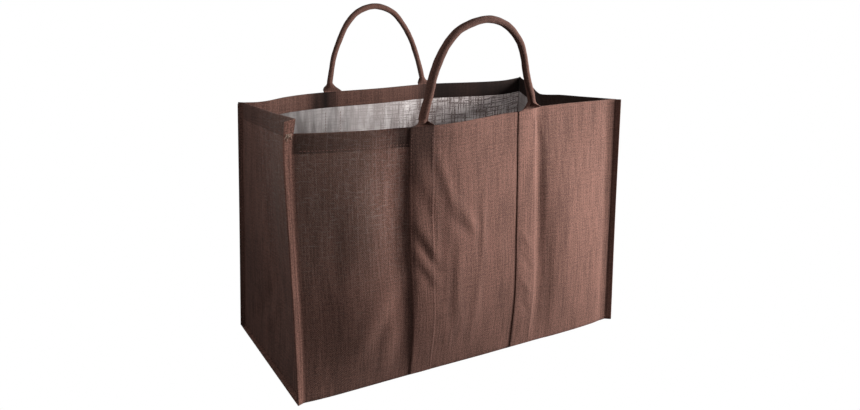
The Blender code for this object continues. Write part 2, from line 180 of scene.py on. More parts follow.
# soft troughs and ridges on each panel: share and height of both ends, how far it stands out, width
CREASES = {
    "front": [
        (0.29, 366, 0.356, 272, 1.3, 13), (0.294, 322, 0.362, 236, -1.1, 11),
        (0.286, 276, 0.37, 182, 1.7, 9), (0.286, 254, 0.37, 164, -1.7, 8),
        (0.288, 226, 0.366, 148, 1.5, 8), (0.29, 204, 0.364, 132, -1, 9),
        (0.342, 384, 0.426, 240, 2.3, 9), (0.4, 296, 0.505, 208, 1.8, 9),
        (0.388, 266, 0.475, 216, -1.3, 9), (0.5, 305, 0.507, 150, 1.4, 6.5),
        (0.487, 300, 0.495, 160, -1, 6), (0.499, 190, 0.478, 30, 1.1, 9),
        (0.403, 236, 0.402, 90, -1.3, 8), (0.424, 225, 0.418, 60, 1.1, 8),
        (0.404, 134, 0.398, 44, -0.8, 9), (0.382, 120, 0.418, 16, 0.8, 9),
        (0.425, 140, 0.458, 46, 0.7, 9),
        (0.55, 215, 0.61, 126, 0.6, 13), (0.598, 300, 0.606, 90, -0.5, 12),
        (0.676, 405, 0.716, 355, 1.2, 6), (0.694, 405, 0.728, 340, -1.3, 6),
        (0.712, 400, 0.742, 325, 1, 7), (0.733, 350, 0.752, 200, 0.8, 9),
        (0.63, 222, 0.692, 162, 1.3, 6), (0.63, 182, 0.692, 126, -1.1, 6),
        (0.632, 138, 0.692, 88, 1.1, 6), (0.636, 96, 0.69, 52, -0.9, 6),
        (0.748, 330, 0.75, -60, -1.1, 9),
        (0.976, 640, 0.972, -240, -1.3, 8), (0.372, 330, 0.378, 60, -0.8, 7),
        (0.798, 392, 0.824, 70, 0.6, 18), (0.878, 380, 0.905, 40, -0.7, 20),
        (0.262, 200, 0.14, 66, 1.8, 16), (0.262, 160, 0.16, 52, -1.8, 13),
        (0.226, 140, 0.221, 6, 1.2, 12), (0.078, 330, 0.098, 150, -0.8, 16),
        (0.124, 290, 0.096, 60, 0.7, 16), (0.043, 290, 0.052, 30, -0.6, 12),
    ],
    "back": [
        (0.1, 398, 0.12, 310, 1.6, 9), (0.35, 390, 0.33, 220, -0.9, 12),
        (0.42, 380, 0.46, 210, 1, 12), (0.52, 330, 0.48, 110, -0.9, 14),
        (0.72, 370, 0.78, 190, 1.2, 14), (0.2, 290, 0.14, 90, 1.2, 14),
    ],
    "left": [
        (0.415, 392, 0.45, 310, -1, 6), (0.225, 380, 0.35, 130, 1.7, 15),
        (0.33, 176, 0.86, 20, -2.2, 13), (0.31, 140, 0.74, 10, 1.7, 12),
        (0.6, 360, 0.64, 150, 1, 14), (0.8, 330, 0.78, 90, -1, 12),
    ],
    "right": [
        (0.2, 350, 0.3, 90, 1.2, 14), (0.72, 360, 0.66, 110, 1.4, 14),
        (0.5, 230, 0.16, 40, -1.4, 14), (0.52, 220, 0.86, 40, -1.4, 14),
    ],
}
# how steeply a crease fades towards its ends
CREASE_FADE = 1.3
# painted shade on the hem along each panel: share, depth of tone. It stands for the double cloth letting
# less light through, and for the shadow on the back's right part and the right end's inside
HEM_SHADE = {
    "front": [(0, 1.2), (0.06, 1), (0.2, 0.45), (0.24, 0.7), (0.27, 1.35), (0.3, 1.3), (0.38, 0.12),
              (1, 0.1)],
    "back": [(0, 0.5), (0.19, 0.7), (0.235, 1.7), (0.265, 1.7), (0.3, 1.1), (0.58, 1.15), (0.66, 2.1),
             (0.78, 2.05), (0.86, 2.15), (1, 2.15)],
    "left": [(0, 0.8), (1, 0.8)],
    "right": [(0, 1.85), (1, 2.05)],
}
# the same for the ribs at two of the corners: painted light makes the lit front-left rib lighter, painted
# shade makes the back-left rib darker
RIB_LIGHT_AND_SHADE = {"back_left": 1.3, "front_left": -0.6}
# patches of painted shade and painted light on a panel, for shade in folds, beside straps and ribs, and
# over the ends: share, height, reach both ways, depth of tone
SHADE_PATCHES = {
    "front": [(0.08, 120, 0.07, 90, 0.32), (0.13, 20, 0.12, 50, 0.2), (0.45, 378, 0.04, 13, 0.2),
              (0.385, 238, 0.03, 26, 0.25), (0.6, 300, 0.05, 60, -0.1), (0.283, 220, 0.02, 240, 0.32),
              (0.2, 290, 0.05, 70, -0.2), (0.055, 295, 0.03, 20, 0.3), (0.15, 245, 0.035, 22, 0.22),
              (0.03, 190, 0.03, 60, 0.22), (1, 200, 0.02, 500, 0.5), (0.5, 110, 0.12, 70, 0.12)],
    "back": [(0.272, 330, 0.016, 400, 0.55), (0.297, 330, 0.016, 400, 0.55), (0.235, 350, 0.012, 45, 0.5),
             (0.32, 345, 0.006, 40, -0.35), (0.345, 350, 0.008, 30, 0.35), (0.4, 340, 0.01, 30, -0.3)],
    "left": [(0.03, 220, 0.07, 280, -0.4), (0.9, 120, 0.35, 150, 0.5), (0.4, 0, 0.5, 80, 0.35)],
}
# painted shadow on the front's left band under its gathered top: distance below the rim, depth of tone
BAND_SHADOW = [(0, 1.35), (28, 1.25), (60, 0.65), (100, 0.05), (400, 0)]
# depth of painted shade in the gathers at the feet of the handles
FOOT_SHADE = {"front": 0.3, "back": 1.3}
# loose thread ends at the front-left corner: place out along the rib, way out, drop, lift off the cloth
THREAD_ENDS = [
    (0.3, 0.45, 5, 1.2), (0.42, -0.25, 8, 1.6), (0.55, 0.3, 3.5, 2),
    (0.62, 0.1, 9.5, 1.1), (0.75, -0.5, 4.5, 1.8), (0.8, 0.2, 6.5, 1.3),
]


def smooth(keys, values, at):
    """Values of a smooth line through the keys. values may have its own column for each place."""
    keys = np.asarray(keys, float)
    values = np.asarray(values, float)
    at = np.clip(np.asarray(at, float), keys[0], keys[-1])
    last = len(keys) - 1
    k = np.clip(np.searchsorted(keys, at, side="left") - 1, 0, last - 1)

    def value(m):
        return values[m] if values.ndim == 1 else np.take_along_axis(values, m[None], 0)[0]

    def slope(m):
        before = np.maximum(m - 1, 0)
        after = np.minimum(m + 1, last)
        return (value(after) - value(before)) / (keys[after] - keys[before])

    span = keys[k + 1] - keys[k]
    f = (at - keys[k]) / span
    start = value(k) * (2 * f ** 3 - 3 * f ** 2 + 1) + slope(k) * span * (f ** 3 - 2 * f ** 2 + f)
    end = value(k + 1) * (3 * f ** 2 - 2 * f ** 3) + slope(k + 1) * span * (f ** 3 - f ** 2)
    return start + end


def column(rows, number):
    return [row[number] for row in rows]


def from_table(rows, at):
    """Value at a place, from a table of places and values."""
    return smooth(column(rows, 0), column(rows, 1), at)


def unit(vectors):
    return vectors / np.maximum(np.linalg.norm(vectors, axis=-1, keepdims=True), 1e-9)


def square_to(way):
    """Level direction square to a level direction."""
    return np.stack((-way[..., 1], way[..., 0], way[..., 2]), -1)


def placed(points):
    """Points of the tables in metres, in the model's frame."""
    return (points + SHIFT) * MM


def folds(panel, share, height):
    """How far the cloth stands out of its flat plane."""
    shares, rows = FOLDS[panel]
    across = np.stack([smooth(shares, row[1], share) for row in rows])
    return smooth(column(rows, 0), across, height)


def creases(panel, share, height):
    """The soft troughs and ridges that lie on the main folds."""
    width = PANEL_WIDTH if panel in ("front", "back") else GUSSET_WIDTH
    x = share * width
    out = np.zeros_like(x)
    for s0, z0, s1, z1, depth, wide in CREASES[panel]:
        x0, x1 = s0 * width, s1 * width
        run = np.array((x1 - x0, z1 - z0), float)
        length = np.hypot(*run)
        along = ((x - x0) * run[0] + (height - z0) * run[1]) / length
        side = ((x - x0) * run[1] - (height - z0) * run[0]) / length
        t = np.clip(along / length, 0, 1)
        past = along - t * length
        fade = np.sin(math.pi * t) ** CREASE_FADE
        out += depth * fade * np.exp(-(side ** 2 + past ** 2) / wide ** 2)
    return out


def seam(name, height):
    """Meeting point of the two cloths at a corner, the rib's direction and its width."""
    rows = CORNERS[name]
    keys = column(rows, 0)
    x, y, angle, width = (smooth(keys, column(rows, n), height) for n in (1, 2, 3, 4))
    turn = np.radians(angle)
    way = np.stack((np.cos(turn), np.sin(turn), np.zeros_like(turn)), -1)
    return np.stack((x, y, height), -1), way, width


def rib_point(name, height, out, side):
    """Point on one cloth's inner face at a corner: at the seam or out at the rib's tip."""
    root, way, width = seam(name, height)
    across = square_to(way) * side * SEAM_GAP / 2
    return root + across + way * (width * out)[..., None]


def panel_point(panel, share, height):
    """Points on the inner face of a panel, the hem's second layer left out."""
    first, last, out, side = PANELS[panel]
    share, height = np.broadcast_arrays(np.asarray(share, float), np.asarray(height, float))
    none = np.zeros_like(height)
    start = rib_point(first, height, none, BODY_SIDE[first] * side)
    end = rib_point(last, height, none, BODY_SIDE[last] * side)
    stand = folds(panel, share, height) + creases(panel, share, height)
    return start + (end - start) * share[..., None] + np.array(out, float) * stand[..., None]


def rim(panel, share):
    """Height of a panel's rim."""
    return from_table(RIMS[panel], share)


def thread(panel, share, height):
    """Share of the width where one column of cloth runs at a height."""
    drift = from_table(DRIFT.get(panel, NO_DRIFT), share)
    return share + drift * from_table(DRIFT_RISE, height)


def grid_normals(points):
    """Unit normals of a grid of points."""
    return unit(np.cross(np.gradient(points, axis=1), np.gradient(points, axis=0)))


def lengths(points, axis):
    """Distance run along one axis of a grid of points."""
    steps = np.linalg.norm(np.diff(points, axis=axis), axis=-1)
    start = np.zeros_like(np.take(points, [0], axis)[..., 0])
    return np.concatenate((start, np.cumsum(steps, axis)), axis)


def open_edges(cells):
    """Edges of the grid that only one used cell touches, as pairs of row and column."""
    rows, cols = cells.shape
    wide = np.zeros((rows + 2, cols + 2), bool)
    wide[1:-1, 1:-1] = cells
    level = np.argwhere(wide[:-1, 1:-1] != wide[1:, 1:-1])
    upright = np.argwhere(wide[1:-1, :-1] != wide[1:-1, 1:])
    return np.concatenate((
        np.stack((level, level + (0, 1)), 1),
        np.stack((upright, upright + (1, 0)), 1),
    ))


def closed_sheet(name, outer, inner, uv, slots, facts, cells=None):
    """A closed mesh between an outer and an inner grid of points, both in millimetres."""
    rows, cols = outer.shape[:2]
    if cells is None:
        cells = np.ones((rows - 1, cols - 1), bool)
    verts = placed(np.concatenate((outer.reshape(-1, 3), inner.reshape(-1, 3))))
    index = np.arange(rows * cols).reshape(rows, cols)
    twin = rows * cols
    front = np.stack((index[:-1, :-1], index[1:, :-1], index[1:, 1:], index[:-1, 1:]), -1)[cells]
    edge = open_edges(cells)
    start, end = (index[tuple(edge[:, n].T)] for n in (0, 1))
    sides = np.stack((start, end, end + twin, start + twin), -1)
    faces = np.concatenate((front, front[:, ::-1] + twin, sides))
    mesh = bpy.data.meshes.new(name)
    mesh.from_pydata(verts.tolist(), [], faces.tolist())
    inner_slots = np.broadcast_to(slots, cells.shape)[cells]
    kinds = np.concatenate((np.zeros(len(front)), inner_slots, np.zeros(len(sides))))
    mesh.polygons.foreach_set("material_index", kinds.astype(np.int32))
    spots = np.concatenate((uv.reshape(-1, 2), uv.reshape(-1, 2)))
    layer = mesh.uv_layers.new(name="cloth")
    layer.data.foreach_set("uv", spots[faces.reshape(-1)].astype(np.float32).reshape(-1))
    for fact, (outside, inside) in facts.items():
        attribute = mesh.attributes.new(fact, "FLOAT", "POINT")
        both = np.concatenate((outside.reshape(-1), inside.reshape(-1)))
        attribute.data.foreach_set("value", both.astype(np.float32))
    return finished(name, mesh)


def finished(name, mesh):
    """Cleans a mesh, shades it and puts it in the scene."""
    bm = bmesh.new()
    bm.from_mesh(mesh)
    bmesh.ops.delete(bm, geom=[v for v in bm.verts if not v.link_faces], context="VERTS")
    bmesh.ops.recalc_face_normals(bm, faces=bm.faces)
    bm.to_mesh(mesh)
    bm.free()
    mesh.shade_smooth()
    mesh.set_sharp_from_angle(angle=math.radians(SHARP_ANGLE))
    obj = bpy.data.objects.new(name, mesh)
    bpy.context.scene.collection.objects.link(obj)
    return obj


def thinned(outer, inner, factor):
    """Brings both faces towards their middle, to round an edge."""
    middle = (outer + inner) / 2
    return middle + (outer - middle) * factor[..., None], middle + (inner - middle) * factor[..., None]


# degrees at which an edge of a mesh is shaded as sharp
SHARP_ANGLE = 60
# places across a rib from tip to seam, and how thick the cloth is there
RIB_PLACES = (1.0, 0.96, 0.88, 0.7, 0.48, 0.25)
RIB_FULL = (0.35, 0.8, 1.0, 1.0, 1.0, 1.0)
# rows of the hem, down from the rim, how full the first of them are, and the step past the last
HEM_ROWS = (0.0, 0.4, 1.2, 2.6, 5, 8, 11, 14, 17, 20, 23, 25.4, HEM_DEPTH)
HEM_FULL = (0.3, 0.75, 1.0)
HEM_STEP = 0.7
# depth of tone on the hem's face that does not show
PLAIN_HEM = 0.5
# share of the width over which the hem's second layer ends at a seam
HEM_END = 0.02
# steps between the rows and columns of the cloth
FRONT_STEP = 3.0
BACK_STEP = 5.4
BASE_STEP = 20.0
# places across the rib at an end's foot, and how thick the cloth is there
FLAP_PLACES = (0.25, 0.5, 0.75, 0.95, 1.0)
FLAP_FULL = (1.0, 1.0, 1.0, 0.8, 0.35)
# that rib narrows over this share of the width at each corner, to this part of its width
FLAP_END = 0.04
FLAP_LEAST = 0.3
# height over which the drop of a rib's tip fades
TIP_FADE = 8.0


def spaced(low, high, step):
    return np.linspace(low, high, max(2, round(abs(high - low) / step) + 1))


def cloth_columns(width, step):
    """Shares of the width and places on the ribs, from one rib's tip to the other's."""
    shares = spaced(0, 1, step / width)
    outs = np.array(RIB_PLACES)
    share = np.concatenate((np.zeros(len(outs)), shares, np.ones(len(outs))))
    out = np.concatenate((outs, np.zeros(len(shares)), outs[::-1]))
    full = np.concatenate((RIB_FULL, np.ones(len(shares)), RIB_FULL[::-1]))
    return share, out, full


def panel_grid(panel, share, out, foot, step):
    """Inner face of one upright panel with its ribs, from the rim down, and the hem's rows."""
    first, last, _, side = PANELS[panel]
    top = rim(panel, thread(panel, share, RIM_LEVEL))
    hem_foot = top - HEM_DEPTH - HEM_STEP
    fall = [top - depth for depth in HEM_ROWS]
    fall += [hem_foot + (foot - hem_foot) * f for f in spaced(0, 1, step / (RIM_LEVEL - HEM_DEPTH))]
    height = np.stack(fall)
    if side == -1:
        depth = top[None] - height
        height = height - TIP_DROP * out[None] * np.clip(1 - depth / TIP_FADE, 0, 1)
    hem = np.zeros_like(height)
    hem[:len(HEM_ROWS)] = 1.0
    # painted shade on the hems, plus patches of painted light and shade
    tone = hem * from_table(HEM_SHADE[panel], share) + painted_light_and_shade(panel, share[None], height)
    points = panel_point(panel, thread(panel, share[None], height), height)
    outs = np.broadcast_to(out, height.shape)
    for corner, half in ((first, share < 0.5), (last, share > 0.5)):
        rib = rib_point(corner, height, outs, BODY_SIDE[corner] * side)
        past = ((out > 0) & half)[None]
        points = np.where(past[..., None], rib, points)
        # painted light and shade on the ribs
        tone = np.where(past, RIB_LIGHT_AND_SHADE.get(corner, 0.0), tone)
    return points, hem, tone


def painted_light_and_shade(panel, share, height):
    """Painted light and shade on a panel's cloth, from its patches."""
    tone = np.zeros_like(height)
    for place, level, wide, high, depth in SHADE_PATCHES.get(panel, []):
        tone += depth * np.exp(-((share - place) / wide) ** 2 - ((height - level) / high) ** 2)
    return tone


def cloth_faces(points, hem, share, out, full, facing):
    """Outer and inner faces of a cloth. The hem's second layer lies inside and ends at the seams."""
    square = grid_normals(points) * facing
    near = np.minimum(share, 1 - share)
    layer = hem * (np.clip(near / HEM_END, 0, 1) * (out == 0))[None]
    outer = points + square * CLOTH
    inner = points - square * (HEM_EXTRA * layer)[..., None]
    outer, inner = thinned(outer, inner, full)
    bare = np.maximum(layer[:-1, :-1], layer[1:, 1:]) < 0.5
    kinds = bare & (out[:-1] == 0) & (out[1:] == 0)
    return outer, inner, kinds.astype(int)


def cloth_uv(points, share, out, width):
    """Places on the flat cloth in metres, across and along."""
    across = share * width + np.where(share < 0.5, -1, 1) * out * RIB_WIDTH
    across = np.broadcast_to(across, points.shape[:2])
    return np.stack((across, lengths(points, 0)), -1) * MM


def body_cloth():
    """Front panel, base and back panel in one strip, with its ribs and two hems."""
    share, out, full = cloth_columns(PANEL_WIDTH, FRONT_STEP)
    front, front_hem, front_shade = panel_grid("front", share, out, CLOTH, FRONT_STEP)
    back, back_hem, back_shade = panel_grid("back", share, out, CLOTH, BACK_STEP)
    low, high = front[-1], back[-1]
    base = np.stack([low + (high - low) * f for f in spaced(0, 1, BASE_STEP / GUSSET_WIDTH)[1:-1]])
    points = np.concatenate((front, base, back[::-1]))
    bare = np.zeros(base.shape[:2])
    hem = np.concatenate((front_hem, bare, back_hem[::-1]))
    outside = np.concatenate((front_shade, bare, back_hem[::-1] * PLAIN_HEM))
    inside = np.concatenate((front_hem * PLAIN_HEM, bare, back_shade[::-1]))
    full = full[None] * np.ones((len(points), 1))
    full[:len(HEM_FULL)] *= np.array(HEM_FULL)[:, None]
    full[-len(HEM_FULL):] *= np.array(HEM_FULL)[::-1, None]
    outer, inner, kinds = cloth_faces(points, hem, share, out, full, -1)
    uv = cloth_uv(points, share, out, PANEL_WIDTH)
    return closed_sheet("bag_body", outer, inner, uv, kinds, {"tone": (outside, inside)})


def gusset(name, panel):
    """End panel with its hem, its upright ribs and the rib along its foot."""
    share, out, full = cloth_columns(GUSSET_WIDTH, FRONT_STEP)
    foot = CLOTH + SEAM_GAP
    points, hem, tone = panel_grid(panel, share, out, foot, FRONT_STEP)
    near = np.clip(np.minimum(share, 1 - share) / FLAP_END, FLAP_LEAST, 1)
    way = np.array(PANELS[panel][2], float)
    flap = [points[-1] + way * (BASE_RIB * f * near)[:, None] for f in FLAP_PLACES]
    cells = np.ones((len(points) + len(flap) - 1, len(share) - 1), bool)
    cells[len(points) - 1:] = (out[:-1] == 0) & (out[1:] == 0)
    full = full[None] * np.ones((len(points), 1))
    full[:len(HEM_FULL)] *= np.array(HEM_FULL)[:, None]
    full = np.concatenate((full, np.array(FLAP_FULL)[:, None] * np.ones((1, len(share)))))
    points = np.concatenate((points, np.stack(flap)))
    hem = np.concatenate((hem, np.zeros((len(flap), len(share)))))
    tone = np.concatenate((tone, np.repeat(tone[-1:], len(flap), 0)))
    facing = 1 if panel == "left" else -1
    outer, inner, kinds = cloth_faces(points, hem, share, out, full, facing)
    uv = cloth_uv(points, share, out, GUSSET_WIDTH)
    tones = (tone, hem * PLAIN_HEM) if panel == "left" else (hem * PLAIN_HEM, tone)
    return closed_sheet(name, outer, inner, uv, kinds, {"tone": tones}, cells)


# places across a strap, from edge to edge, and how thick it is there
STRAP_PLACES = (-1, -0.985, -0.95, -0.88, -0.78, -0.66, -0.54, -0.42, -0.3, -0.18, -0.06,
                0.06, 0.18, 0.3, 0.42, 0.54, 0.66, 0.78, 0.88, 0.95, 0.985, 1)
STRAP_EDGE = (0.3, 0.75)
STRAP_STEP = 3.0
# length of a flat band, for the number of its rows, and the height of its foot
BAND_LENGTH = 398
BAND_FOOT = CLOTH + 0.8
FOOT_STEPS = 12
ARCH_STEPS = 120
# how far round the roll closes, and how it turns about itself: share of the arch, degrees
ROLL_CLOSED = 1.94 * math.pi
ROLL_TURN = [(0.0, 35.0), (0.12, 75.0), (0.5, 100.0), (0.88, 75.0), (1.0, 35.0)]
# where a foot's rows begin to bend, as part of the full roll
LEAST_BEND = 0.02
# unevenness of the roll's thickness: depth, rate along it, start
ROLL_LUMPS = ((0.02, 61, 0), (0.015, 143, 1))
# how far to each side a panel's slope is read: share of the width, height
SLOPE_STEPS = ((0.006, 0), (0, 3))


def outward(panel, share, height):
    """Direction square to the panel, away from the inside of the bag."""
    along, up = (panel_point(panel, share + s, height + h) - panel_point(panel, share - s, height - h)
                 for s, h in SLOPE_STEPS)
    square = unit(np.cross(along, up))
    way = np.array(PANELS[panel][2], float)
    return np.where((square @ way)[..., None] > 0, square, -square)


def band_rows(panel, edges, across):
    """Middle surface of a flat band from the rim down to the base, and the direction square to it."""
    share = edges[0] + (edges[1] - edges[0]) * (across + 1) / 2
    top = rim(panel, thread(panel, share, RIM_LEVEL))
    height = np.stack([top + (BAND_FOOT - top) * f for f in spaced(0, 1, STRAP_STEP / BAND_LENGTH)])
    places = thread(panel, share[None], height)
    square = outward(panel, places, height)
    points = panel_point(panel, places, height) + square * (CLOTH + STRAP_GAP + STRAP_CLOTH / 2)
    return points, square


def arch_line(roll):
    """Points, directions and diameters along a rolled handle."""
    table = np.array(roll, float)
    steps = np.linalg.norm(np.diff(table[:, :3], axis=0), axis=-1)
    keys = np.concatenate(((0.0,), np.cumsum(steps)))
    at = np.linspace(0, keys[-1], ARCH_STEPS + 1)
    spots = np.stack([smooth(keys, table[:, n], at) for n in range(4)], -1)
    run = unit(np.gradient(spots[:, :3], axis=0))
    side = unit(np.cross(run, (0.0, -1.0, 0.0)))
    return spots[:, :3], run, side, spots[:, 3]


def strap_section(start, side, out, width, bend, across):
    """One row of a strap that is bent round by an angle, from its middle line outwards."""
    radius = width / bend
    turn = across * bend / 2
    points = start + side * (radius * np.sin(turn))[:, None]
    points = points + out * (radius * (1 - np.cos(turn)))[:, None]
    square = out * np.cos(turn)[:, None] - side * np.sin(turn)[:, None]
    return points, square


def strap(name):
    """Band up the panel, gathered at the rim, rolled over the arch, and down again."""
    panel = STRAPS[name]["panel"]
    across = np.array(STRAP_PLACES, float)
    way = np.array(PANELS[panel][2], float)
    left, left_square = band_rows(panel, STRAPS[name]["bands"][0], across)
    right, right_square = band_rows(panel, STRAPS[name]["bands"][1][::-1], across)
    line, run, side, size = arch_line(STRAPS[name]["roll"])
    out = unit(np.cross(side, run))
    out *= np.sign(out @ way)[:, None]
    share = np.linspace(0, 1, len(line))
    turn = np.radians(from_table(ROLL_TURN, share))[:, None]
    side, out = side * np.cos(turn) - out * np.sin(turn), out * np.cos(turn) + side * np.sin(turn)
    lump = 1 + sum(depth * np.sin(share * rate + start) for depth, rate, start in ROLL_LUMPS)
    radius = (size * lump - ROLL_CLOTH) / 2

    def arch_row(k):
        start = line[k] - out[k] * radius[k]
        return strap_section(start, side[k], out[k], radius[k] * ROLL_CLOSED, ROLL_CLOSED, across)

    def foot_rows(band, square, k):
        width = np.linalg.norm(band[0, -1] - band[0, 0])
        middle = band[0].mean(0)
        band_side = unit(band[0, -1] - band[0, 0])
        rows = []
        for step in range(1, FOOT_STEPS):
            f = step / FOOT_STEPS
            start = middle + (line[k] - out[k] * radius[k] - middle) * f
            way_side = unit(band_side + (side[k] - band_side) * f)
            way_out = unit(square[0].mean(0) + (out[k] - square[0].mean(0)) * f)
            wide = width + (radius[k] * ROLL_CLOSED - width) * f
            bend = max(f, LEAST_BEND) * ROLL_CLOSED
            rows.append(strap_section(start, way_side, way_out, wide, bend, across))
        return rows

    rows = list(zip(left[::-1], left_square[::-1]))
    rows += foot_rows(left, left_square, 0)
    rows += [arch_row(k) for k in range(len(line))]
    rows += foot_rows(right, right_square, -1)[::-1]
    rows += list(zip(right, right_square))
    points = np.stack([row[0] for row in rows])
    square = np.stack([row[1] for row in rows])
    rolled = slice(len(left), len(points) - len(right))
    place = np.arange(len(points[rolled]))
    ease = np.clip(np.minimum(place, place[::-1]) / FOOT_STEPS, 0, 1)
    roll, tone = np.zeros(len(points)), np.zeros(len(points))
    roll[rolled] = ease
    thick = STRAP_CLOTH + (ROLL_CLOTH - STRAP_CLOTH) * roll
    full = np.ones(len(across))
    full[:2] = STRAP_EDGE
    full[-2:] = STRAP_EDGE[::-1]
    half = square * (thick[:, None] / 2 * full[None])[..., None]
    wide = np.broadcast_to(across * STRAP_WIDTH / 2, points.shape[:2])
    along = np.broadcast_to(lengths(points, 0)[:, len(across) // 2, None], wide.shape)
    below = spaced(0, BAND_LENGTH, STRAP_STEP)[:len(left)]
    # painted shadow under the front's left band top, and painted shade in the gathers at the handles' feet
    tone[:len(left)] = from_table(BAND_SHADOW, below)[::-1] * (panel == "front")
    tone[rolled] += (1 - ease) * FOOT_SHADE[panel]
    facts = {"roll": (roll[:, None] * np.ones(wide.shape),) * 2,
             "tone": (tone[:, None] * np.ones(wide.shape),) * 2}
    uv = np.stack((wide, along), -1) * MM
    return closed_sheet(name + "_cloth", points + half, points - half, uv, 0, facts)


# Stitches

STITCH = 3.6
STITCH_PITCH = 5.0
STITCH_RADIUS = 0.42
STITCH_SIDES = 6
# rings of a stitch: place along it, then size and lift in radii. Its tips are sunk into the cloth
STITCH_RINGS = ((0.08, 0.7, -0.35), (0.5, 1.0, 0.25), (0.92, 0.7, -0.35))
STITCH_SUNK = 0.6
# rows of stitches: above the hem's foot, on the ribs, and along the bands outside and inside
HEM_ROW_RISE = 3.0
RIB_ROW_TOP = 396.0
RIB_ROW_OUT = 0.42
HIGH_CORNER_RISE = 16
BAND_ROW_TOP = 392
BAND_ROW_TOP_INSIDE = 370
ROW_FOOT = 8
# share of a band's width from its edge to a row
BAND_ROW_INSET = 0.075
LEVEL_STEP = 4.0
UPRIGHT_STEP = 6.0
THREAD_RADIUS = 0.42
THREAD_TOP = 402.5
THREAD_LIFT = 0.2
THREAD_POINTS = 12


def stitched(name, lines):
    """All stitches along some lines as one mesh. A line is its points and the directions square to it."""
    starts, ends, squares = [], [], []
    for points, square in lines:
        run = lengths(points, 0)
        marks = np.arange(STITCH_PITCH / 2, run[-1] - STITCH, STITCH_PITCH)
        for shift, found in ((0, starts), (STITCH, ends)):
            found.append(np.stack([np.interp(marks + shift, run, points[:, n]) for n in range(3)], -1))
        squares.append(unit(np.stack([np.interp(marks, run, square[:, n]) for n in range(3)], -1)))
    start, end, square = (np.concatenate(part) for part in (starts, ends, squares))
    along = unit(end - start)
    side = unit(np.cross(along, square))
    sunk = STITCH_RADIUS * STITCH_SUNK
    spots = []
    for f, size, lift in STITCH_RINGS:
        middle = start + (end - start) * f + square * STITCH_RADIUS * lift
        for k in range(STITCH_SIDES):
            turn = k * 2 * math.pi / STITCH_SIDES
            reach = side * math.cos(turn) + square * math.sin(turn)
            spots.append(middle + reach * STITCH_RADIUS * size)
    spots += [start - square * sunk, end - square * sunk]
    count = len(spots)
    last = STITCH_SIDES * (len(STITCH_RINGS) - 1)
    faces = []
    for k in range(STITCH_SIDES):
        after = (k + 1) % STITCH_SIDES
        for ring in range(0, last, STITCH_SIDES):
            faces.append((ring + k, ring + after, ring + STITCH_SIDES + after, ring + STITCH_SIDES + k))
        faces += [(count - 2, after, k), (count - 1, last + k, last + after)]
    every = [tuple(count * n + spot for spot in face) for n in range(len(start)) for face in faces]
    mesh = bpy.data.meshes.new(name)
    mesh.from_pydata(placed(np.stack(spots, 1).reshape(-1, 3)).tolist(), [], every)
    return finished(name, mesh)


def level_line(panel, low, high, below, inside=False):
    """Line along a panel, a little below its rim."""
    share = spaced(low, high, LEVEL_STEP / PANEL_WIDTH)
    return on_panel(panel, share, rim(panel, share) - below, inside)


def upright_line(panel, share, top, extra=0.0, inside=False):
    """Line up a panel along one of its threads."""
    height = spaced(top, ROW_FOOT, UPRIGHT_STEP)
    return on_panel(panel, thread(panel, np.full(len(height), share), height), height, inside, extra)


def on_panel(panel, share, height, inside=False, extra=0.0):
    """Points on a panel's outer or inner face, and the direction square to it."""
    square = outward(panel, share, height)
    points = panel_point(panel, share, height)
    if inside:
        return points - square * extra, -square
    return points + square * (CLOTH + extra), square


def on_rib(corner, height, out, side):
    """Points on the outer face of one cloth of a rib, and the direction square to it."""
    points = rib_point(corner, height, out, side)
    square = square_to(seam(corner, height)[1]) * side
    return points + square * CLOTH, square


def rib_line(corner, side, top):
    """Line up one cloth of a rib."""
    height = spaced(top, ROW_FOOT, UPRIGHT_STEP)
    return on_rib(corner, height, np.full(len(height), RIB_ROW_OUT), side)


def body_stitches():
    """Hem rows of all four panels, the rib seams, and the threads that show on the film."""
    lines = []
    hem = HEM_DEPTH - HEM_ROW_RISE
    for panel in PANELS:
        lines.append(level_line(panel, 0.01, 0.99, hem))
        lines.append(level_line(panel, 0.03, 0.97, hem, inside=True))
    for corner, side in BODY_SIDE.items():
        rise = HIGH_CORNER_RISE if corner == "front_left" else 0
        lines.append(rib_line(corner, side, RIB_ROW_TOP))
        lines.append(rib_line(corner, -side, RIB_ROW_TOP + rise))
    return stitched("seam_stitching", lines)


def strap_stitches():
    """Two rows along each flat band, and their threads inside the bag."""
    lines = []
    lift = STRAP_GAP + STRAP_CLOTH
    for facts in STRAPS.values():
        panel = facts["panel"]
        for low, high in facts["bands"]:
            inset = (high - low) * BAND_ROW_INSET
            for share in (low + inset, high - inset):
                lines.append(upright_line(panel, share, BAND_ROW_TOP, lift))
                lines.append(upright_line(panel, share, BAND_ROW_TOP_INSIDE, inside=True))
    return stitched("strap_stitching", lines)


def loose_threads():
    """Pale thread ends that curl over the cloth's edge at the top of the front-left corner."""
    corner = "front_left"
    curve = bpy.data.curves.new("thread_lines", "CURVE")
    curve.dimensions = "3D"
    curve.bevel_depth = THREAD_RADIUS * MM
    curve.bevel_resolution = 1
    curve.use_fill_caps = True
    along = np.linspace(0, 1, THREAD_POINTS)
    for out, reach, drop, lift in THREAD_ENDS:
        height = THREAD_TOP - drop * along
        points, square = on_rib(corner, height, out + reach * along ** 2, BODY_SIDE[corner])
        points = points + square * (THREAD_LIFT + lift * np.sin(math.pi * along))[:, None]
        spline = curve.splines.new("POLY")
        spline.points.add(THREAD_POINTS - 1)
        places = np.concatenate((placed(points), np.ones((THREAD_POINTS, 1))), 1)
        spline.points.foreach_set("co", places.ravel())
    holder = bpy.data.objects.new("thread_lines", curve)
    mesh = bpy.data.meshes.new_from_object(holder)
    bpy.data.objects.remove(holder)
    return finished("loose_threads", mesh)


# Materials

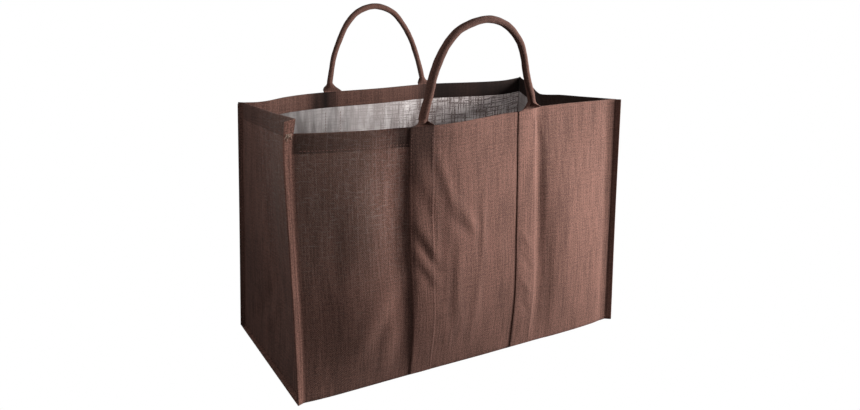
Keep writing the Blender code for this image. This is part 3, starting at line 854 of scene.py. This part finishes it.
# repeats of each noise in a metre of cloth, across and along
JUTE_WARP, JUTE_WEFT = (400, 16), (20, 400)
JUTE_FINE, JUTE_CLOUD = (430, 430), (46, 9)
GAUZE_GAPS, GAUZE_FILL, GAUZE_DASHES = (760, 130), (30, 520), (110, 300)
FILM_WARP, FILM_WEFT = (380, 20), (17, 400)
FILM_STREAK, FILM_SLANT, FILM_FINE = (46, 9), (30, 30), (330, 330)
# repeats of the thread's noise in a metre
THREAD_NOISE = 900
# how much of the light a tone of 1 takes away
TONE_DEPTH = 0.435


def shade(base, factor):
    """A colour times one factor, or times one for each of red, green and blue."""
    factors = factor if isinstance(factor, tuple) else (factor,) * 3
    return tuple(c * f for c, f in zip(base, factors))


def settings(node, values):
    for name, value in values.items():
        node.inputs[name].default_value = value


class Graph:
    """Short calls for the nodes that the cloth materials share."""

    def __init__(self, name):
        self.material = bpy.data.materials.new(name)
        self.material.use_nodes = True
        self.nodes = self.material.node_tree.nodes
        self.links = self.material.node_tree.links
        self.shader = self.nodes["Principled BSDF"]

    def give(self, socket, source):
        if isinstance(source, (int, float)):
            socket.default_value = source
        else:
            self.links.new(source, socket)

    def uv(self, across, along):
        """Cloth coordinates in metres, times a scale each way."""
        place = self.nodes.new("ShaderNodeUVMap")
        place.uv_map = "cloth"
        scale = self.nodes.new("ShaderNodeVectorMath")
        scale.operation = "MULTIPLY"
        scale.inputs[1].default_value = (across, along, 1)
        self.links.new(place.outputs[0], scale.inputs[0])
        return scale.outputs[0]

    def noise(self, vector, detail, rough, twist=0.0):
        node = self.nodes.new("ShaderNodeTexNoise")
        settings(node, {"Scale": 1.0, "Detail": detail, "Roughness": rough, "Distortion": twist})
        self.links.new(vector, node.inputs["Vector"])
        return node.outputs["Fac"]

    def math(self, kind, a, b=0.0):
        node = self.nodes.new("ShaderNodeMath")
        node.operation = kind
        for socket, source in zip(node.inputs, (a, b)):
            self.give(socket, source)
        return node.outputs[0]

    def times(self, a, b):
        return self.math("MULTIPLY", a, b)

    def plus(self, a, b):
        return self.math("ADD", a, b)

    def span(self, source, low, high, out_low=0.0, out_high=1.0):
        node = self.nodes.new("ShaderNodeMapRange")
        node.interpolation_type = "SMOOTHSTEP"
        for socket, number in zip(node.inputs, (source, low, high, out_low, out_high)):
            self.give(socket, number)
        return node.outputs[0]

    def part(self, vector, name):
        node = self.nodes.new("ShaderNodeSeparateXYZ")
        self.links.new(vector, node.inputs[0])
        return node.outputs[name]

    def mix(self, share, a, b):
        node = self.nodes.new("ShaderNodeMix")
        node.data_type = "RGBA"
        self.give(node.inputs["Factor"], share)
        for socket, colour in zip((node.inputs[6], node.inputs[7]), (a, b)):
            if isinstance(colour, tuple):
                socket.default_value = (*colour, 1)
            else:
                self.links.new(colour, socket)
        return node.outputs[2]

    def toned(self, colour):
        """The colour as the tone fact darkens or lightens it: mostly painted shade and painted light of
        hems, ribs, patches, bands and feet.
        """
        node = self.nodes.new("ShaderNodeVectorMath")
        node.operation = "SCALE"
        self.links.new(colour, node.inputs[0])
        light = self.math("SUBTRACT", 1.0, self.times(self.fact("tone"), TONE_DEPTH))
        self.give(node.inputs["Scale"], light)
        return node.outputs[0]

    def fact(self, name):
        node = self.nodes.new("ShaderNodeAttribute")
        node.attribute_name = name
        return node.outputs["Fac"]

    def bump(self, height, distance, strength):
        node = self.nodes.new("ShaderNodeBump")
        settings(node, {"Distance": distance, "Strength": strength})
        self.links.new(height, node.inputs["Height"])
        self.links.new(node.outputs[0], self.shader.inputs["Normal"])


def plain_weave(g, pitch):
    """Height of a plain weave: warp and weft threads pass over and under each other."""
    threads = 1 / pitch
    place = g.uv(threads, threads)
    x, y = g.part(place, 0), g.part(place, 1)
    wave_x = g.math("SINE", g.times(x, math.pi))
    wave_y = g.math("SINE", g.times(y, math.pi))
    raised = g.times(g.math("ABSOLUTE", wave_x), g.math("ABSOLUTE", wave_y))
    return g.plus(raised, g.times(g.times(wave_x, wave_y), 0.5))


def jute(name, base, weave_pitch=0.0016, contrast=1.0, gauze_light=0.0):
    """Brown jute: slubs along warp and weft, uneven dye, coarse weave, painted light through thin gauze
    near one corner, and painted shade on rolled handles.
    """
    g = Graph(name)
    warp = g.noise(g.uv(*JUTE_WARP), 2, 0.6)
    weft = g.noise(g.uv(*JUTE_WEFT), 2, 0.6)
    fine = g.noise(g.uv(*JUTE_FINE), 2, 0.7)
    cloud = g.noise(g.uv(*JUTE_CLOUD), 3, 0.55)
    slub = g.plus(g.times(warp, 0.68), g.times(weft, 0.32))
    tone = g.plus(g.times(slub, 0.37), g.times(fine, 0.48))
    tone = g.plus(tone, g.times(cloud, 0.15))
    tone = g.span(tone, 0.5 - 0.13 / contrast, 0.5 + 0.13 / contrast)
    colour = g.mix(tone, shade(base, 0.6), shade(base, 1.4))
    # painted light: pale specks where light from inside shows through the open gauze, and a greyer cast
    # over it
    if gauze_light:
        place = g.uv(1, 1)
        across, along = g.part(place, 0), g.part(place, 1)
        thin = g.times(g.span(across, 0.14, 0.24, 1.0, 0.12), g.span(along, 0.10, 0.26, 1.0, 0.2))
        thin = g.times(thin, g.span(across, 0.0, 0.008))
        gaps = g.noise(g.uv(*GAUZE_GAPS), 1, 0.5)
        fill = g.noise(g.uv(*GAUZE_FILL), 2, 0.6)
        dashes = g.noise(g.uv(*GAUZE_DASHES), 1, 0.5)
        upright = g.times(g.span(warp, 0.45, 0.66), g.span(gaps, 0.42, 0.64))
        level = g.times(g.span(fill, 0.42, 0.68), g.span(dashes, 0.40, 0.64))
        lit_gaps = g.times(g.math("MAXIMUM", upright, level), thin)
        grey = g.times(thin, g.span(across, 0.10, 0.14, 0.4, 0.0))
        colour = g.mix(grey, colour, shade(base, (0.88, 1.16, 1.2)))
        colour = g.mix(g.times(lit_gaps, gauze_light), colour, (0.25, 0.20, 0.185))
    colour = g.toned(colour)
    # painted shade: the rolled handles are made darker
    colour = g.mix(g.times(g.fact("roll"), 0.38), colour, shade(base, 0.3))
    g.links.new(colour, g.shader.inputs["Base Color"])
    settings(g.shader, {"Roughness": 0.9, "Specular IOR Level": 0.12,
                        "Sheen Weight": 0.03, "Sheen Roughness": 0.5})
    weave = plain_weave(g, weave_pitch)
    height = g.plus(g.times(weave, 0.45), g.times(slub, 0.6))
    height = g.plus(height, g.times(fine, 0.7))
    g.bump(height, 0.0006, 0.8)
    return g.material


def film(name, base):
    """Clear glossy film over the jute's inner face: the weave shows through it. Its colour holds painted
    shade at the left, painted light at the right, painted highlights in pale streaks and painted shade
    along slanted wrinkles.
    """
    g = Graph(name)
    across = g.part(g.uv(1, 1), 0)
    warp = g.noise(g.uv(*FILM_WARP), 2, 0.6, 0.25)
    weft = g.noise(g.uv(*FILM_WEFT), 2, 0.6, 0.25)
    streak = g.noise(g.uv(*FILM_STREAK), 3, 0.6)
    slant = g.noise(g.uv(*FILM_SLANT), 2, 0.5, 0.6)
    fine = g.noise(g.uv(*FILM_FINE), 2, 0.7)
    mesh = g.span(across, 0.22, 0.40, 0.3, 1.0)
    lines = g.math("MAXIMUM", g.span(warp, 0.52, 0.42), g.span(weft, 0.52, 0.42))
    dark = g.times(g.times(lines, mesh), g.span(fine, 0.3, 0.6, 0.4, 1.0))
    # painted light and shade: darker at the left, much lighter towards the right
    plain = g.mix(g.span(across, 0.10, 0.26), shade(base, 0.3), shade(base, 1.1))
    plain = g.mix(g.span(across, 0.36, 0.60), plain, shade(base, 2.3))
    # painted highlights: pale streaks over the left and middle
    painted_glint_mask = g.times(g.span(across, 0.08, 0.24, 0.25, 1.0), g.span(across, 0.30, 0.44, 0.62, 0.15))
    pale = g.times(g.span(streak, 0.45, 0.64), painted_glint_mask)
    colour = g.mix(pale, plain, (0.68, 0.64, 0.64))
    # painted shade along slanted wrinkles
    colour = g.mix(g.times(g.span(slant, 0.42, 0.60), 0.25), colour, shade(base, 0.5))
    colour = g.mix(dark, colour, shade(base, (0.22, 0.16, 0.15)))
    colour = g.toned(colour)
    g.links.new(colour, g.shader.inputs["Base Color"])
    g.links.new(g.span(streak, 0.3, 0.7, 0.3, 0.5), g.shader.inputs["Roughness"])
    settings(g.shader, {"Specular IOR Level": 0.5, "Coat Weight": 0.4, "Coat Roughness": 0.25})
    height = g.plus(g.times(warp, 0.5), g.times(slant, 2.5))
    g.bump(height, 0.0008, 0.7)
    return g.material


def thread_material(name, base):
    """Sewing thread with uneven colour."""
    g = Graph(name)
    place = g.nodes.new("ShaderNodeTexCoord")
    spot = g.nodes.new("ShaderNodeVectorMath")
    spot.operation = "SCALE"
    settings(spot, {"Scale": THREAD_NOISE})
    g.links.new(place.outputs["Object"], spot.inputs[0])
    tone = g.noise(spot.outputs[0], 2, 0.6)
    colour = g.mix(tone, shade(base, 0.6), shade(base, 1.4))
    g.links.new(colour, g.shader.inputs["Base Color"])
    settings(g.shader, {"Roughness": 0.8})
    g.bump(tone, 0.0003, 0.6)
    return g.material


# Camera, light and floor

CAMERA_PLACE = (-0.61068, -1.08321, 0.600)
# level direction that it looks in, and degrees that it looks down
CAMERA_WAY = (0.4926, 0.8702)
CAMERA_DOWN = 16.96
CAMERA_LENS = 31.44
CAMERA_SENSOR = 36.0
# how far the floor lies below the bag's foot
FLOOR_DROP = 0.0004
# each area light: place, what it points at, size, power, colour
LIGHTS = {
    "key": ((1.1, -0.62, 0.56), (0.0, -0.1, 0.25), 0.45, 46, (1.0, 0.98, 0.96)),
    "left_fill": ((-0.47, -0.17, 0.66), (-0.29, -0.10, 0.30), 0.2, 0.62, (1.0, 0.97, 0.95)),
    "through_weave": ((0.02, -0.07, 0.30), (0.24, 0.13, 0.355), 0.1, 0.17, (1, 1, 1)),
}


def add_camera():
    data = bpy.data.cameras.new("camera")
    data.lens = CAMERA_LENS
    data.sensor_width = CAMERA_SENSOR
    camera = bpy.data.objects.new("camera", data)
    bpy.context.scene.collection.objects.link(camera)
    level = Vector((*CAMERA_WAY, 0)).normalized()
    down = math.radians(CAMERA_DOWN)
    right = Vector((level.y, -level.x, 0))
    forward = Vector((level.x * math.cos(down), level.y * math.cos(down), -math.sin(down)))
    up = right.cross(forward)
    turn = Matrix((right, up, -forward)).transposed().to_4x4()
    camera.matrix_world = Matrix.Translation(CAMERA_PLACE) @ turn
    bpy.context.scene.camera = camera


def add_area(name, place, target, size, power, colour):
    data = bpy.data.lights.new(name, "AREA")
    data.size = size
    data.energy = power
    data.color = colour
    light = bpy.data.objects.new(name, data)
    light.location = place
    light.visible_camera = False
    light.rotation_euler = (Vector(target) - Vector(place)).to_track_quat("-Z", "Y").to_euler()
    bpy.context.scene.collection.objects.link(light)


def shown_white(tree, plain, white, output):
    """Lights the object with a plain shader and shows itself with a white one."""
    path = tree.nodes.new("ShaderNodeLightPath")
    mix = tree.nodes.new("ShaderNodeMixShader")
    tree.links.new(path.outputs["Is Camera Ray"], mix.inputs[0])
    tree.links.new(plain.outputs[0], mix.inputs[1])
    tree.links.new(white.outputs[0], mix.inputs[2])
    tree.links.new(mix.outputs[0], tree.nodes[output].inputs["Surface"])


def add_world(strength, colour):
    """White behind the object, and a dim light from all round."""
    world = bpy.data.worlds.new("studio")
    bpy.context.scene.world = world
    world.use_nodes = True
    nodes = world.node_tree.nodes
    dim = nodes["Background"]
    settings(dim, {"Color": (*colour, 1), "Strength": strength})
    white = nodes.new("ShaderNodeBackground")
    settings(white, {"Color": (1, 1, 1, 1), "Strength": 1.0})
    shown_white(world.node_tree, dim, white, "World Output")


def add_floor(size, grey):
    """A pale floor that looks white itself and lights the object like pale paper."""
    mesh = bpy.data.meshes.new("floor")
    half = size / 2
    mesh.from_pydata([(-half, -half, 0), (half, -half, 0), (half, half, 0), (-half, half, 0)], [],
                     [(0, 1, 2, 3)])
    floor = bpy.data.objects.new("floor", mesh)
    floor.location.z = -FLOOR_DROP
    bpy.context.scene.collection.objects.link(floor)
    material = bpy.data.materials.new("white_floor")
    material.use_nodes = True
    nodes = material.node_tree.nodes
    paper = nodes["Principled BSDF"]
    settings(paper, {"Base Color": (grey, grey, grey, 1), "Roughness": 1.0})
    shown_white(material.node_tree, paper, nodes.new("ShaderNodeEmission"), "Material Output")
    mesh.materials.append(material)


add_camera()
add_world(0.28, (1.0, 0.98, 0.97))
add_floor(6.0, 0.08)
for light_name, facts in LIGHTS.items():
    add_area(light_name, *facts)

BASE = (0.131, 0.065, 0.051)
body_jute = jute("body_jute", BASE, contrast=1.3, gauze_light=0.42)
# painted light: the left end, which lies in shade, gets a lighter copy of the body's jute
lightened_end_jute = jute("lightened_end_jute", shade(BASE, 1.28), contrast=2.0, gauze_light=0.75)
strap_jute = jute("strap_jute", BASE, weave_pitch=0.0013, contrast=1.35)
inner_film = film("inner_film", (0.34, 0.305, 0.30))
seam_thread = thread_material("seam_thread", (0.15, 0.065, 0.05))
pale_thread = thread_material("pale_thread", (0.29, 0.205, 0.16))

body = body_cloth()
left = gusset("left_end", "left")
right = gusset("right_end", "right")
front_strap = strap("front_strap")
back_strap = strap("back_strap")
seam_stitching = body_stitches()
strap_stitching = strap_stitches()
thread_ends = loose_threads()

for piece, jute_material in ((body, body_jute), (left, lightened_end_jute), (right, body_jute)):
    piece.data.materials.append(jute_material)
    piece.data.materials.append(inner_film)
for piece in (front_strap, back_strap):
    piece.data.materials.append(strap_jute)
for piece in (seam_stitching, strap_stitching):
    piece.data.materials.append(seam_thread)
thread_ends.data.materials.append(pale_thread)

for piece, node in ((body, "body_cloth"), (left, "left_gusset"), (right, "right_gusset"),
                    (front_strap, "front_strap"), (back_strap, "back_strap")):
    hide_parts(node)
for piece in (body, left, right, front_strap, back_strap, seam_stitching, strap_stitching, thread_ends):
    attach(piece, "root")

bpy.context.scene.view_settings.view_transform = "Standard"
